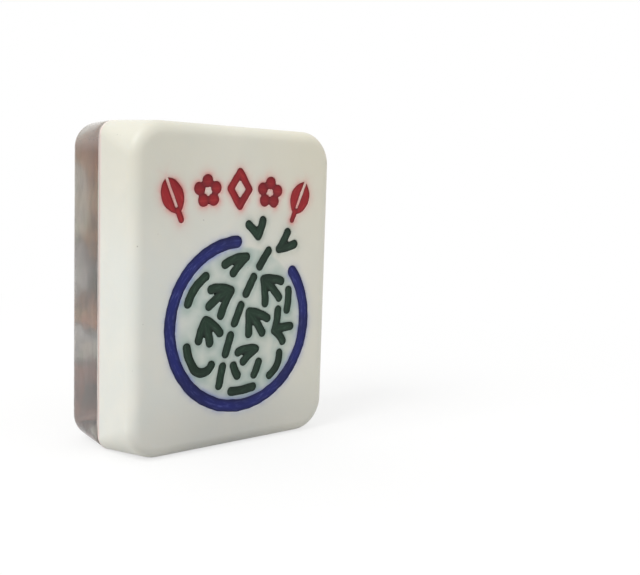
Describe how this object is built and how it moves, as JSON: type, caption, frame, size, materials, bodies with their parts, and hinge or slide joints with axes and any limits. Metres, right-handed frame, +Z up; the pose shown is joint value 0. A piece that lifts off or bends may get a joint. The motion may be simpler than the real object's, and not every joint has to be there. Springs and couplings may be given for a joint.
{
  "type": "mahjong tile",
  "caption": "Upright mahjong tile: white block with engraved, painted face, joined to a clear back over a printed picture film.",
  "frame": {"origin": "centre of the tile's underside, standing on its short edge", "axes": "+Z up the tile's height, +X to the right seen from the engraved face, -Y out of the engraved face"},
  "size_m": [0.0228, 0.0116, 0.03],
  "materials": {
    "white_block": "satin white moulded plastic",
    "clear_acrylic": "clear acrylic, satin sides",
    "adhesive": "clear cured adhesive",
    "picture_film": "printed film in peach, ochre and charcoal",
    "blue_paint": "dried enamel, satin",
    "red_paint": "dried enamel, satin",
    "green_paint": "dried enamel, satin"
  },
  "bodies": {
    "root": {"face_block": "white_block", "front_adhesive": "adhesive", "picture_film": "picture_film", "back_adhesive": "adhesive", "clear_back": "clear_acrylic", "ring_paint": "blue_paint", "red_leaf_paint_left": "red_paint", "blossom_paint_left": "red_paint", "lozenge_paint": "red_paint", "blossom_paint_right": "red_paint", "red_leaf_paint_right": "red_paint", "stalk_paint_1": "green_paint", "stalk_paint_2": "green_paint", "stalk_paint_3": "green_paint", "stalk_paint_4": "green_paint", "stalk_paint_5": "green_paint", "leaf_paint_1": "green_paint", "leaf_paint_2": "green_paint", "leaf_paint_3": "green_paint", "leaf_paint_4": "green_paint", "leaf_paint_5": "green_paint", "leaf_paint_6": "green_paint", "leaf_paint_7": "green_paint", "leaf_paint_8": "green_paint", "leaf_paint_9": "green_paint", "leaf_paint_10": "green_paint", "leaf_paint_11": "green_paint", "shoot_paint": "green_paint", "cloud_paint": "green_paint", "rock_paint": "green_paint", "pebble_paint": "green_paint", "bank_paint": "green_paint"}
  },
  "joints": []
}
